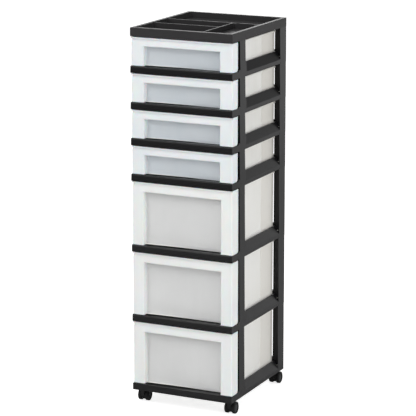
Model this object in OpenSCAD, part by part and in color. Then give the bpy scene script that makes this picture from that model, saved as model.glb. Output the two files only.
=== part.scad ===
// Rolling drawer cart: seven drawers in stacked tier frames, an organiser top and four casters.
// Origin: centre of the footprint on the floor. +Z is up and the drawer fronts face -Y.

/* [Cart] */
// Width of the frame from side to side
cart_w = 306; // [290:1:330]
// Depth of the frame from front to back
cart_d = 362; // [345:1:390]
// Height of the lowest frame's underside above the floor
caster_h = 40; // [39:0.5:48]
// Height of one shallow tier
shallow_h = 100; // [90:1:130]
// Height of one deep tier
deep_h = 200; // [150:1:230]
// Height of the organiser top
top_h = 24; // [22:0.5:32]

/* [Tier frames] */
// Wall of the frame mouldings
wall = 2.5; // [2:0.1:3]
// Height of the front strip
strip_h = 16; // [15:0.5:20]
// How far the front strip stands out before the posts
tongue_d = 43; // [38:1:50]
// Depth of a front post along the side
front_post_d = 40; // [30:1:48]
// Depth of a rear post along the side
rear_post_d = 44; // [40:1:52]
// Width of the flanges that the front posts turn inwards
flange_w = 14; // [12:0.5:16]
// Width of the flanges that the rear posts turn inwards, behind the drawers
rear_flange_w = 17.5; // [14:0.5:20]
// Width of a rear post across the back
rear_face_w = 26; // [22:1:40]
// Height of the side rail's ridge above the frame's underside
rail_h = 35; // [30:1:40]
// Height of the upright lip at the foot of the side rail
lip_h = 11; // [8:0.5:14]
// Width of the runner that carries the drawer
runner_w = 9.5; // [7:0.5:12]
// Height of the rear crossbar
crossbar_h = 33; // [26:1:40]
// Depth of the rear crossbar's flanges
crossbar_d = 12; // [9:1:16]
// Taper of a post from foot to head, on the outer faces
post_taper = 1.8; // [0.6:0.1:2.2]
// Radius of the rear corners
corner_r = 6; // [4:0.5:9]
// Height of the spigot that locates the frame above
spigot_h = 8; // [5:0.5:10]
// Length of the gusset where the side rail meets the front post
gusset_l = 9; // [5:0.5:14]
// Thickness of the moulded ribs
rib_t = 1.6; // [1.2:0.1:2.2]

/* [Organiser top] */
// Width of the rim's flat top
rim_w = 11; // [10.5:0.5:14]
// Radius of the rim's outer edge
rim_r = 2; // [1:0.25:4]
// Depth of the compartments below the rim
tray_depth = 17; // [14:0.5:18]
// Thickness of the tray's floor
tray_floor = 2; // [1.5:0.1:2.5]
// Thickness of the dividers
divider_t = 3.5; // [2.5:0.1:5]
// How far the dividers stay below the rim
divider_drop = 1.5; // [0.5:0.1:4]
// Radius of the compartments' upright corners
pocket_r = 4; // [2:0.5:8]
// Place of the divider between the rear compartment and the front ones, back from the centre
rear_divider_y = 27; // [0:1:60]
// Place of the divider that runs front to back, right of the centre
cross_divider_x = 58; // [30:1:90]
// Place of the front-left compartment's divider, forward of the centre
front_divider_y = 58; // [30:1:100]

/* [Drawers] */
// Wall of the drawer mouldings
drawer_wall = 1.8; // [1.5:0.1:2.4]
// Floor of the drawers
drawer_floor = 2; // [1.6:0.1:2.6]
// Gap between the tub's rim and the posts at each side
tub_gap = 2.5; // [1:0.25:4]
// Gap between a closed drawer's rim and the rear posts
tub_rear_gap = 0.5; // [0.4:0.1:12]
// Taper of each tub side from rim to floor, in degrees
tub_draft = 1; // [0.5:0.1:1.5]
// Radius of the tub's upright corners
tub_r = 5; // [4:0.5:12]
// Drop of the tub's rim below the frame above
rim_drop = 9; // [7:0.5:14]
// Width of the tub's rim flange
tub_rim_w = 2; // [1:0.1:2.5]
// Height of the tub's rim flange
tub_rim_h = 3; // [2:0.1:5]
// Half the length of the sunk panel in each side of the tub
panel_half_l = 50; // [30:0.5:60]
// Height of the border under the panel
panel_foot = 22.5; // [18:0.5:30]
// Depth of the panel
panel_t = 0.8; // [0.4:0.1:1.2]
// Setback of the drawer fronts behind the strips
front_set = 4; // [2:0.5:8]
// Gap at each end of a drawer front
front_side_gap = 0.5; // [0.5:0.25:4]
// Gap above a drawer front
head_gap = 2; // [1:0.25:3]
// Depth of the recess before the window
recess_d = 20; // [16:1:24]
// Width of the stile at each side of a shallow drawer's window
shallow_stile = 37.5; // [34:0.5:50]
// Width of the stile at each side of a deep drawer's window
deep_stile = 34; // [33:0.5:50]
// Height of the bar above a shallow window
shallow_bar = 24.5; // [18:0.5:30]
// Height of the bar above a deep window
deep_bar = 28; // [18:0.5:36]
// Wall of the drawer front
front_wall = 2.2; // [1.8:0.1:2.6]
// Depth of the drawer front's side returns
return_d = 35; // [28:1:36]
// Radius of the drawer front's upright edges
front_r = 3.5; // [2:0.5:8]
// Radius of the side returns' lower back corner
return_r = 8; // [4:0.5:12]
// Width of the rolled edge along the drawer front's outline
bead_w = 3.4; // [2:0.2:6]
// Height that the rolled edge stands proud
bead_t = 0.6; // [0.3:0.1:1]
// Width of the finger lip behind the bar's lower edge
lip_w = 8; // [5:0.5:11]

/* [Casters] */
// Distance of a caster stem from the cart's side face
stem_in_x = 18.5; // [18:0.5:24]
// Distance of a caster stem from the cart's front or back face
stem_in_y = 29; // [28.5:0.5:33]
// Radius of a wheel
wheel_r = 16; // [14.5:0.25:17.5]
// Width of a wheel
wheel_w = 9; // [7:0.25:10]
// Distance between the middles of the two wheels of a caster
wheel_pitch = 22; // [21:0.25:25]
// Distance of the axle behind the stem
trail = 11; // [8:0.5:11]
// Radius of the stem
stem_r = 4; // [3:0.25:5]
// Length of the stem above the frame's underside
stem_up = 12; // [9:0.5:12.5]
// Radius of the axle
axle_r = 2.5; // [1.5:0.25:3]
// Thickness of the hood over the wheels
hood_t = 1.4; // [1.2:0.1:1.6]

/* [Hidden] */
shallow_count = 4;
tier_count = 7;
CORNERS = ["front_left", "front_right", "rear_left", "rear_right"];
TIERS = [for (i = [1:tier_count]) i];
$fn = 48;

FRAME_BLACK = [0.17, 0.17, 0.18];
DRAWER_WHITE = [0.90, 0.92, 0.93];
CASTER_BLACK = [0.10, 0.10, 0.10];
STEEL = [0.70, 0.71, 0.72];

// Clearances
slide_gap = 0.3;      // under a drawer on its runners, and behind it at the stop
seat_gap = 0.3;       // round a spigot
foot_gap = 1;         // between a drawer front's foot and the strip
pin_fit = 0.05;       // round the axle
swivel_fit = 0.08;    // round the stem in its socket
press_fit = 0.02;     // round the stem and axle in the housing
wheel_gap = 0.6;      // between wheel and hood or housing
swivel_gap = 0.4;     // between the housing and the socket's collar
e = 1;                // overshoot of cutting shapes

// Frame
hx = cart_w / 2;
hy = cart_d / 2;
flange_x = hx - flange_w;
post_front = -hy + tongue_d;
post_back = post_front + front_post_d;
rear_front = hy - rear_post_d;
rib_pitch = 48;
runner_x = flange_x - runner_w;
runner_z = strip_h - wall;
ridge_x = flange_x + wall;
rail_slope = (rail_h - lip_h) / (hx - ridge_x);
skin_dx = wall * sqrt(1 + 1 / pow(rail_slope, 2));
strip_edge_r = 1.5;
fillet_r = 6;
lip_end_r = 6;
stop_h = 6;
stop_t = 2.6;
front_corner_r = 1.5;

// Drawer
front_y = -hy + front_set;
window_y = front_y + recess_d;
front_x = hx - front_side_gap;
tub_back = rear_front - tub_rear_gap - tub_rim_w;
runner_end = max(rear_front + wall, tub_back + slide_gap + stop_t);
tub_half = flange_x - tub_gap - tub_rim_w;
tub_mid = (window_y + tub_back) / 2;
tub_len = tub_back - window_y;
drawer_z = strip_h + slide_gap;
front_z = strip_h + foot_gap;
tab_x = 80;
tab_w = 14;
tab_t = 3;
tab_up = 2.5;
bar_edge_r = 3;
skin = 0.01;           // thickness of the slabs that a tapering form is drawn between

// Casters
stem_x = hx - stem_in_x;
stem_y = hy - stem_in_y;
collar_h = 1.5;
collar_r = 9;
socket_r = 8.5;
bore_r = stem_r + swivel_fit;
bore_end_gap = 0.5;
stem_chamfer = 1.6;
ring_groove_w = 1.6;
ring_groove_t = 0.6;
ring_groove_drop = 4;
axle_end_gap = 1;
tyre_edge_r = 1.5;
hub_wall = 2.5;
rim_wall = 4;
dish_d = 1;
web_trim = 3;
body_top = caster_h - collar_h - swivel_gap;
body_w = wheel_pitch - wheel_w - 2 * wheel_gap;
neck_r = body_w / 2;
hood_r = wheel_r + wheel_gap;
hood_trim = 3;         // the hood is narrower than the pair of wheels
hood_w = wheel_pitch + wheel_w - hood_trim;
hood_rise = 8;
stem_foot = 12;
plate_t = 3;

function tier_h(i) = i <= shallow_count ? shallow_h : deep_h;
function tier_z(i) = i == tier_count ? caster_h : tier_z(i + 1) + tier_h(i + 1);
function window_x(i) = front_x - (i <= shallow_count ? shallow_stile : deep_stile);
function bar_h(i) = i <= shallow_count ? shallow_bar : deep_bar;
function side_x(corner) = (corner == "front_left" || corner == "rear_left") ? -1 : 1;
function end_y(corner) = (corner == "front_left" || corner == "front_right") ? -1 : 1;

// ---- Helpers ----

// A box between two corners
module block(low, high) {
    translate(low) cube(high - low);
}

// A profile drawn in Y and Z, run along X across the middle
module along_x(length) {
    rotate([90, 0, 90]) translate([0, 0, -length / 2]) linear_extrude(length) children();
}

// A profile drawn in X and Z, run along Y
module along_y(from, to) {
    translate([0, to, 0]) rotate([90, 0, 0]) linear_extrude(to - from) children();
}

// The same piece on both sides
module both_sides() {
    children();
    mirror([1, 0, 0]) children();
}

// What a quarter round takes off a square corner; the corner is at the origin, the square fills -X -Y
module corner_off(r) {
    translate([-r, -r]) difference() {
        square(r + e);
        circle(r);
    }
}

// A rectangle about the origin with round corners
module round_plan(half_w, half_l, r) {
    $fn = 32;
    difference() {
        square([2 * half_w, 2 * half_l], center = true);
        for (sx = [-1, 1], sy = [-1, 1])
            translate([sx * half_w, sy * half_l]) scale([sx, sy]) corner_off(r);
    }
}

// ---- Tier frame ----

// Plan of the frame, with round rear corners
module footprint(inset) {
    difference() {
        translate([-hx + inset, -hy + inset]) square([cart_w - 2 * inset, cart_d - 2 * inset]);
        for (s = [-1, 1]) {
            translate([s * (hx - inset), hy - inset]) scale([s, 1]) corner_off(corner_r - inset);
            translate([s * (hx - inset), -hy + inset]) scale([s, -1]) corner_off(front_corner_r);
        }
    }
}

// The space inside the frame's tapering outer faces
module envelope(h, inset = 0) {
    lean = post_taper / h;
    intersection() {
        translate([0, 0, -e]) linear_extrude(h + e) footprint(inset);
        along_y(-hy, hy) polygon([
            [-hx + inset - e * lean, -e], [hx - inset + e * lean, -e],
            [hx - inset - post_taper, h], [-hx + inset + post_taper, h]]);
        along_x(cart_w) polygon([
            [-hy, -e], [hy - inset + e * lean, -e], [hy - inset - post_taper, h], [-hy, h]]);
    }
}

// Right-hand post: a section open to the inside, closed by a cap on top
module post(h, y0, y1, width, flange) {
    difference() {
        intersection() {
            envelope(h);
            block([hx - width, y0, 0], [hx + e, y1, h]);
        }
        intersection() {
            envelope(h, wall);
            block([hx - width - e, y0 + wall, -e], [hx, y1 - (y1 < hy ? wall : 0), h - wall]);
        }
        // the back of a rear post is wider than its flange, so the flange is cut back to its own width
        block([hx - width - e, y0 - e, -e], [hx - flange, hy - wall - crossbar_d, h + e]);
    }
}

// Spigot on a right-hand post's cap, which enters the hollow of the frame above
module spigot(h, y0, y1) {
    inset = wall + seat_gap;
    translate([0, 0, h - wall]) linear_extrude(wall + spigot_h) intersection() {
        translate([hx - rim_w + inset, y0 + inset]) square([rim_w - 2 * inset, y1 - y0 - 2 * inset]);
        footprint(inset);
    }
}

// Front strip: a channel open below, with ribs, whose ends are the tongues before the posts
module front_strip() {
    difference() {
        along_x(cart_w) difference() {
            translate([-hy, 0]) square([tongue_d, strip_h]);
            translate([-hy, strip_h]) scale([-1, 1]) corner_off(strip_edge_r);
        }
        difference() {
            block([-hx + wall, -hy + wall, -e], [hx - wall, post_front - wall, strip_h - wall]);
            for (n = [-2:2]) block([n * rib_pitch - rib_t / 2, -hy, 0],
                                   [n * rib_pitch + rib_t / 2, post_front, strip_h]);
        }
    }
}

// Outer skin of the right-hand side rail: lip, slope and ridge
module rail_skin_2d() {
    polygon([
        [hx, 0], [hx, lip_h], [ridge_x, rail_h], [flange_x, rail_h], [flange_x, rail_h - wall],
        [ridge_x - skin_dx + wall / rail_slope, rail_h - wall],
        [hx - wall, lip_h + (wall - skin_dx) * rail_slope], [hx - wall, 0]]);
}

// Inner wall of the rail and the runner that the drawer slides on
module runner_2d() {
    polygon([
        [flange_x, rail_h], [ridge_x, rail_h], [ridge_x, runner_z], [runner_x, runner_z],
        [runner_x, strip_h], [flange_x, strip_h]]);
}

module rail_rib_2d() {
    polygon([[hx - wall, 0], [hx - wall, lip_h], [ridge_x, rail_h - wall], [ridge_x, runner_z]]);
}

// Right-hand side rail from the front post to the rear post
module side_rail() {
    difference() {
        along_y(post_back - wall, rear_front + wall) rail_skin_2d();
        // the lip's back end is rounded off
        translate([hx, 0, 0]) along_x(4 * wall) translate([rear_front, 0])
            scale([1, -1]) corner_off(lip_end_r);
    }
    along_y(post_front, runner_end) runner_2d();
    for (n = [0:3]) {
        y = post_back + gusset_l + n * rib_pitch;
        along_y(y, y + rib_t) rail_rib_2d();
    }
    // stop at the back of the runner
    block([runner_x, tub_back + slide_gap, runner_z],
          [ridge_x, tub_back + slide_gap + stop_t, strip_h + stop_h]);
}

// Gusset that spreads the front post over the rail's end
module gusset() {
    block([flange_x, post_back - wall, 0], [hx, post_back + gusset_l, rail_h]);
    intersection() {
        block([flange_x, post_back - wall, rail_h - e], [hx, post_back + gusset_l, rail_h + gusset_l]);
        along_x(cart_w) polygon([
            [post_back - wall, rail_h - e], [post_back + gusset_l, rail_h - e],
            [post_back + gusset_l, rail_h], [post_back, rail_h + gusset_l],
            [post_back - wall, rail_h + gusset_l]]);
    }
}

// Fillet in the corner between a tongue's top and the post
module tongue_fillet() {
    translate([flange_x + flange_w / 2, 0, 0]) along_x(flange_w)
        translate([post_front - fillet_r, strip_h + fillet_r]) difference() {
            translate([0, -fillet_r - e]) square(fillet_r + e);
            circle(fillet_r);
        }
}

// Rear crossbar: a channel open to the front, which runs between the backs of the rear posts
module crossbar() {
    end_x = hx - rear_face_w + wall;
    difference() {
        block([-end_x, hy - crossbar_d, 0], [end_x, hy, crossbar_h]);
        difference() {
            block([-hx, hy - crossbar_d - e, wall], [hx, hy - wall, crossbar_h - wall]);
            for (n = [-2:2]) block([n * rib_pitch - rib_t / 2, 0, 0],
                                   [n * rib_pitch + rib_t / 2, hy, crossbar_h]);
        }
    }
}

// Frame of tier i, with its underside at z = 0
module frame_shape(h) {
    intersection() {
        envelope(h);
        union() {
            front_strip();
            crossbar();
            both_sides() {
                difference() {
                    side_rail();
                    // the post's outer wall carries on through the rail's end
                    block([hx - wall, rear_front + wall, -e], [hx + e, hy, h]);
                }
                gusset();
                tongue_fillet();
            }
        }
    }
    both_sides() {
        post(h, post_front, post_back, flange_w, flange_w);
        post(h, rear_front, hy, rear_face_w, rear_flange_w);
        spigot(h, post_front, post_back);
        spigot(h, rear_front, hy);
    }
}

// Caster socket, which reaches below the frame as a collar
module socket(corner) {
    translate([side_x(corner) * stem_x, end_y(corner) * stem_y, -collar_h])
        cylinder(h = collar_h + strip_h - wall + bore_end_gap, r = socket_r);
}

// Floor plate over a caster, with webs that tie the socket to the walls round it
module socket_plate(corner) {
    sx = side_x(corner);
    inner = end_y(corner) < 0 ? post_front : rear_front;
    outer = end_y(corner) * (hy - wall / 2);
    y0 = min(inner, outer);
    y1 = max(inner, outer);
    plate_x = stem_x - collar_r - wall;
    x0 = min(sx * (hx - wall / 2), sx * plate_x);
    x1 = max(sx * (hx - wall / 2), sx * plate_x);
    block([x0, y0, 0], [x1, y1, plate_t]);
    web_top = strip_h - wall;
    block([sx * stem_x - rib_t / 2, y0, 0], [sx * stem_x + rib_t / 2, y1, web_top]);
    block([x0, end_y(corner) * stem_y - rib_t / 2, 0], [x1, end_y(corner) * stem_y + rib_t / 2, web_top]);
}

module tier_frame(i) {
    color(FRAME_BLACK) translate([0, 0, tier_z(i)]) {
        if (i < tier_count) frame_shape(tier_h(i));
        else difference() {
            union() {
                frame_shape(tier_h(i));
                for (c = CORNERS) {
                    socket(c);
                    socket_plate(c);
                }
            }
            for (c = CORNERS) translate([side_x(c) * stem_x, end_y(c) * stem_y, -collar_h - e])
                cylinder(h = stem_up + collar_h + e + bore_end_gap, r = bore_r);
        }
    }
}

// ---- Organiser top ----

// Outer form of the band, rounded along its upper edge
module band_form(inset, top) {
    intersection() {
        translate([0, 0, -e]) linear_extrude(top + e) footprint(inset);
        along_y(-hy, hy) difference() {
            translate([-hx + inset, -e]) square([cart_w - 2 * inset, top + e]);
            for (s = [-1, 1]) translate([s * (hx - inset), top]) scale([s, 1]) corner_off(rim_r);
        }
        along_x(cart_w) difference() {
            translate([-hy + inset, -e]) square([cart_d - 2 * inset, top + e]);
            for (s = [-1, 1]) translate([s * (hy - inset), top]) scale([s, 1]) corner_off(rim_r);
        }
    }
}

// Pocket of the tray between two corners, with round upright corners
module pocket(low, high) {
    translate([(low.x + high.x) / 2, (low.y + high.y) / 2, top_h - tray_depth])
        linear_extrude(tray_depth + e) round_plan((high.x - low.x) / 2, (high.y - low.y) / 2, pocket_r);
}

module organizer_top() {
    floor_z = top_h - tray_depth;
    tray_x = hx - rim_w;
    tray_y = hy - rim_w;
    half = divider_t / 2;
    color(FRAME_BLACK) translate([0, 0, tier_z(1) + tier_h(1)]) {
        difference() {
            intersection() {
                band_form(0, top_h);
                block([-hx, -hy, 0], [hx, hy, top_h]);
            }
            // hollow under the rim, round the tray
            difference() {
                band_form(wall, top_h - wall);
                block([-tray_x - wall, -tray_y - wall, floor_z - tray_floor],
                      [tray_x + wall, tray_y + wall, top_h]);
            }
            // the tray down to the dividers' tops
            translate([0, 0, top_h - divider_drop]) linear_extrude(divider_drop + e)
                round_plan(tray_x, tray_y, pocket_r);
            pocket([-tray_x, rear_divider_y + half], [tray_x, tray_y]);
            pocket([cross_divider_x + half, -tray_y], [tray_x, rear_divider_y - half]);
            pocket([-tray_x, -tray_y], [cross_divider_x - half, -front_divider_y - half]);
            pocket([-tray_x, -front_divider_y + half], [cross_divider_x - half, rear_divider_y - half]);
        }
        // rib that stops the top drawer
        block([-hx + wall / 2, post_front - wall, 0], [hx - wall / 2, post_front, floor_z]);
    }
}

// ---- Drawers ----

// Tapering tub form between two heights, grown outwards by grow
module tub_form(z0, z1, rim_z, grow) {
    hull() for (z = [z0, z1 - skin])
        translate([0, tub_mid, z]) linear_extrude(skin)
            round_plan(tub_half - (rim_z - z) * tan(tub_draft) + grow, tub_len / 2 + grow, tub_r + grow);
}

module tub(h) {
    rim_z = h - rim_drop;
    difference() {
        union() {
            tub_form(drawer_z, rim_z, rim_z, 0);
            // rim flange
            tub_form(rim_z - tub_rim_h, rim_z, rim_z, tub_rim_w);
            // border round the sunk panel of each side
            intersection() {
                tub_form(drawer_z, rim_z, rim_z, panel_t);
                union() {
                    block([-hx, window_y, 0], [hx, -panel_half_l, h]);
                    block([-hx, panel_half_l, 0], [hx, tub_back, h]);
                    block([-hx, window_y, 0], [hx, tub_back, drawer_z + panel_foot]);
                }
            }
        }
        tub_form(drawer_z + drawer_floor, rim_z + e, rim_z, -drawer_wall);
    }
    // stop tabs that meet the strip above when the drawer is fully open
    both_sides() block([tab_x - tab_w / 2, tub_back - tab_t, rim_z - tub_rim_h],
                       [tab_x + tab_w / 2, tub_back, h + tab_up]);
}

// Outer block of the drawer front, with its round edges; an open block runs on behind the returns
module front_block(h, inset, open = false) {
    back = front_y + return_d;
    z0 = front_z + (open ? inset : 0);
    z1 = h - head_gap - inset;
    intersection() {
        linear_extrude(h) difference() {
            translate([-front_x + inset, front_y + inset])
                square([2 * (front_x - inset), return_d]);
            for (s = [-1, 1]) translate([s * (front_x - inset), front_y + inset])
                scale([s, -1]) corner_off(front_r - inset);
        }
        along_x(cart_w) difference() {
            translate([front_y, z0]) square([return_d + (open ? e : 0), z1 - z0]);
            translate([front_y + inset, z1]) scale([-1, 1]) corner_off(bar_edge_r);
            if (!open) translate([back, z0]) scale([1, -1]) corner_off(return_r);
        }
    }
}

// Front without its window: a field and the rolled edge that stands proud along its outline
module bordered_block(h) {
    top_z = h - head_gap;
    back = front_y + return_d;
    front_block(h, bead_t);
    intersection() {
        front_block(h, 0);
        union() {
            block([-hx, -hy, top_z - bead_w], [hx, back, h]);
            block([-hx, -hy, front_z], [hx, back, front_z + bead_w]);
            block([-hx, back - bead_w, front_z], [hx, back, h]);
        }
    }
}

module drawer_front(i) {
    h = tier_h(i);
    wx = window_x(i);
    top_z = h - head_gap;
    bar_z = top_z - bar_h(i);
    web_y = window_y + drawer_wall;
    difference() {
        bordered_block(h);
        front_block(h, front_wall + bead_t, true);
        block([-wx, front_y - e, front_z - e], [wx, front_y + return_d + e, bar_z]);
        // behind the tub's window wall only the side returns stay
        block([-front_x + front_wall + bead_t, web_y, front_z - e],
              [front_x - front_wall - bead_t, front_y + return_d + e, top_z + e]);
    }
    // walls of the recess
    both_sides() block([wx, front_y + bead_t, front_z], [wx + front_wall, web_y, top_z - front_wall]);
    // window wall, up to the top web
    block([-tub_half + tub_r, window_y, drawer_z], [tub_half - tub_r, web_y, top_z - front_wall / 2]);
    // finger lip
    block([-wx - e, front_y + front_wall / 2, bar_z], [wx + e, front_y + lip_w, bar_z + front_wall]);
    block([-wx - e, front_y + lip_w - front_wall, bar_z], [wx + e, front_y + lip_w, bar_z + lip_w]);
}

module drawer(i) {
    color(DRAWER_WHITE) translate([0, 0, tier_z(i)]) {
        drawer_front(i);
        tub(tier_h(i));
    }
}

// ---- Casters ----

// Moves a caster piece to its corner; a caster is drawn with its stem at the origin
module at_corner(corner) {
    translate([side_x(corner) * stem_x, end_y(corner) * stem_y, 0]) children();
}

// A round piece along X at the axle
module on_axle(x = 0) {
    translate([x, trail, wheel_r]) rotate([0, 90, 0]) children();
}

module caster_housing(corner) {
    color(CASTER_BLACK) at_corner(corner) difference() {
        union() {
            // middle plate between the wheels
            along_x(body_w) difference() {
                union() {
                    translate([trail, wheel_r]) circle(wheel_r - web_trim);
                    difference() {
                        translate([trail, wheel_r]) circle(hood_r + hood_t);
                        translate([trail - 2 * wheel_r, wheel_r + hood_rise - 2 * wheel_r])
                            square([4 * wheel_r, 2 * wheel_r]);
                    }
                    translate([-neck_r, wheel_r]) square([neck_r + trail, wheel_r + hood_t]);
                }
                translate([trail, 0]) circle(wheel_r / 2);
            }
            // hood over the wheels
            along_x(hood_w) difference() {
                translate([trail, wheel_r]) circle(hood_r + hood_t);
                translate([trail, wheel_r]) circle(hood_r);
                translate([trail - 2 * wheel_r, wheel_r + hood_rise - 2 * wheel_r])
                    square([4 * wheel_r, 2 * wheel_r]);
            }
            // neck and swivel collar round the stem
            translate([0, 0, wheel_r]) cylinder(h = body_top - wheel_r, r = neck_r);
            translate([0, 0, 2 * wheel_r + wheel_gap])
                cylinder(h = body_top - 2 * wheel_r - wheel_gap, r = collar_r);
        }
        translate([0, 0, caster_h - stem_foot]) cylinder(h = stem_foot + e, r = stem_r + press_fit);
        on_axle(-hood_w) cylinder(h = 2 * hood_w, r = axle_r + press_fit);
    }
}

module caster_stem(corner) {
    color(STEEL) at_corner(corner) translate([0, 0, caster_h - stem_foot]) rotate_extrude() {
        difference() {
            square([stem_r, stem_foot + stem_up]);
            // chamfered tip
            translate([stem_r, stem_foot + stem_up]) rotate(45) square(stem_chamfer, center = true);
            // groove for the grip ring
            translate([stem_r - ring_groove_t, stem_foot + stem_up - ring_groove_drop])
                square([e, ring_groove_w]);
        }
    }
}

module caster_axle(corner) {
    half = (wheel_pitch + wheel_w) / 2 - axle_end_gap;
    color(STEEL) at_corner(corner) on_axle(-half) cylinder(h = 2 * half, r = axle_r);
}

// Wheel with a round-edged tread, a dished outer face and a hub; outwards is +1 or -1 along X
module wheel(corner, outwards) {
    half = wheel_w / 2;
    hub_r = axle_r + hub_wall;
    dish_r = wheel_r - rim_wall;
    color(CASTER_BLACK) at_corner(corner) on_axle(outwards * wheel_pitch / 2)
        scale([1, 1, outwards]) rotate_extrude() difference() {
            translate([axle_r + pin_fit, -half]) square([wheel_r - axle_r - pin_fit, wheel_w]);
            translate([wheel_r, half]) corner_off(tyre_edge_r);
            translate([wheel_r, -half]) scale([1, -1]) corner_off(tyre_edge_r);
            // dish on the outer face
            translate([hub_r, half - dish_d]) square([dish_r - hub_r, dish_d + e]);
            // hollow on the inner face
            translate([hub_r, -half - e]) square([dish_r - hub_r, wheel_w / 2 + e]);
        }
}

// ---- Nodes ----

organizer_top();
for (i = TIERS) {
    tier_frame(i);
    drawer(i);
}
for (c = CORNERS) {
    caster_housing(c);
    caster_stem(c);
    caster_axle(c);
    wheel(c, -side_x(c));
    wheel(c, side_x(c));
}
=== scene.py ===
"""Rolling drawer tower: visual pieces, finishes, camera and light. All sizes are in metres."""
import math

import bmesh
import bpy
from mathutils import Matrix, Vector

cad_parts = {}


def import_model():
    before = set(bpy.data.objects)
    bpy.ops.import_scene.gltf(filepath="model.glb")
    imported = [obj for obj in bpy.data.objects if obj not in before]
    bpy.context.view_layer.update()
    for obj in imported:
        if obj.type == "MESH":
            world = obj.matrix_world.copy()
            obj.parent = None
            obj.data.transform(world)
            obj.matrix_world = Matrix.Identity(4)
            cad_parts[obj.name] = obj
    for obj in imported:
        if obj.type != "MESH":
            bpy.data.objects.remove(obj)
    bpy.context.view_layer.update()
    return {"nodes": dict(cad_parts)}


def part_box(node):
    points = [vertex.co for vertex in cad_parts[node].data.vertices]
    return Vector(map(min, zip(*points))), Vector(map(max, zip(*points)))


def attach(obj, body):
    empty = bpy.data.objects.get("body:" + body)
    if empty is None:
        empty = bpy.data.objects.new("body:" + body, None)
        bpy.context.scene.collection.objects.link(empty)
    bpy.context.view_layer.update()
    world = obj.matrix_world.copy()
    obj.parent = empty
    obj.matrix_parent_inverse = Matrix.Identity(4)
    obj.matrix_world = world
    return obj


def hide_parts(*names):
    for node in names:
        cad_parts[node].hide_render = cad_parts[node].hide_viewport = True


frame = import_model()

MM = 0.001
CORNERS = ("front_left", "front_right", "rear_left", "rear_right")
SIZES = {"shallow": (1, 2, 3, 4), "deep": (5, 6, 7)}

# Drawer front
BEAD_W = 3.4 * MM      # rolled edge round the front
BEAD_T = 0.6 * MM      # how far it stands proud
COVE_H = 9 * MM        # hollow under the rolled edge
COVE_IN = 2.2 * MM
HEAD_OUT = 2.2 * MM    # how much further the rolled edge stands out along the top
FRONT_WALL = 2.2 * MM
FRONT_DEPTH = {"shallow": 33 * MM, "deep": 38 * MM}    # with its side returns
UPRIGHT_R = 3.5 * MM
RETURN_R = 8 * MM
FRONT_EDGE_R = 0.45 * MM
WINDOW_R = 3 * MM      # inner edges round the window
RECESS = 20 * MM       # from the front's face to the window
WINDOW_T = 1 * MM
WINDOW_BAND = 9 * MM   # foot band of the window
WINDOW_EDGE = 3 * MM   # border round its sunk field
FIELD_IN = 0.5 * MM    # depth of the sunk field
FIELD_R = 0.3 * MM
BAND_OUT = 0.8 * MM    # how far the foot band stands proud
BAND_R = 0.6 * MM
LIP = 8 * MM           # finger lip under the bar
FOOT_UP = 3.6 * MM     # front's foot above the drawer's underside
TAB_UP = 2.5 * MM      # stop tabs above the frame's seam
HEAD_GAP = 2 * MM      # seam to the front's upper edge
WINDOW_HALF = {"shallow": 113.5 * MM, "deep": 117 * MM}
BAR = {"shallow": 24.5 * MM, "deep": 28 * MM}

# Strips and runners, above each frame's seam
STRIP_TOP = 16 * MM
STRIP_WALL = 2.5 * MM
STRIP_UP = 2.9 * MM    # how much higher than the solid's they stand
STRIP_R_CAD = 1.5 * MM
STRIP_R = 4 * MM       # rounding of the strip's upper front edge
FILLET_TOP = 26 * MM
FRAME_EDGE_R = 0.5 * MM

# Front posts of the solid, from the frame's front
POST_FRONT = 43 * MM
POST_REAR = 81.6 * MM  # middle of the rear wall
POST_IN = 138 * MM     # their inner faces lie further out
POST_SLACK = 1.8 * MM  # corners of a wall lie this near its middle
FRONT_BACK = 8.5 * MM  # how much further back than the solid's their front faces stand
REAR_BACK = 3.5 * MM   # and their rear faces

# Organiser
TOP_EDGE_R = 0.6 * MM

# Tub
TUB_UP = {"shallow": 3.3 * MM, "deep": 4.4 * MM}    # tub's foot above the drawer's underside
TUB_WALL = 1.8 * MM
TUB_HALF = 135.3 * MM  # to the border's outer face
TUB_R = 2.5 * MM
TUB_DRAFT = math.radians(0.1)
TUB_FOOT_R = 4 * MM
TUB_EDGE_R = 0.4 * MM
RIM_DROP = 9 * MM      # seam to the tub's rim
RIM_OUT = 1.2 * MM
RIM_BACK = 1.3 * MM    # rim flange behind the tub's back wall
RIM_DOWN = 3 * MM
TUB_CORNER_SHADE = (118 * MM, 128 * MM, 133 * MM, 135 * MM)    # where painted shade darkens its rear corners
PANEL_IN = 0.8 * MM    # depth of the sunk panel in each side
PANEL_HALF = 50 * MM
PANEL_FOOT = 22.5 * MM
PANEL_HEAD = 1.5 * MM  # border between the panel and the rim
PANEL_R = 7 * MM
PANEL_NEAR = 8 * MM    # its edges lie this near the tub's side
TAB_X = 80 * MM        # middle of each stop tab
TAB_HALF = 7 * MM
TAB_T = 3 * MM
TAB_R = 3 * MM

# Casters
TYRE_EDGE = 1.5 * MM
TYRE_IN = 0.6 * MM     # how far the tyre reaches in under its cap
CAP_SHARE = 0.72       # of the wheel's radius
CAP_IN = 1.6 * MM      # how much narrower than the wheel the cap is
CAP_RIM = 1.5 * MM
CAP_SLOPE = 0.5 * MM
CAP_DISH = 4 * MM      # width of the sunk ring
CAP_RISE = 0.5 * MM    # how much it rises towards the hub
CAP_GROOVE = 0.7 * MM
CAP_EDGE_R = 0.2 * MM
WHEEL_STEPS = 56
HOUSING_EDGE_R = 0.35 * MM

# Moulded surfaces
BLACK_BUMP = 0.15 * MM
MILKY_BUMP = 0.08 * MM
STEEL_BUMP = 0.05 * MM
MILKY_GRAIN = 1400.0
PAINTED_CORNER_SHADE = 0.7     # painted shade of the tub's rear corners, as a share of its rear colour
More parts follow.
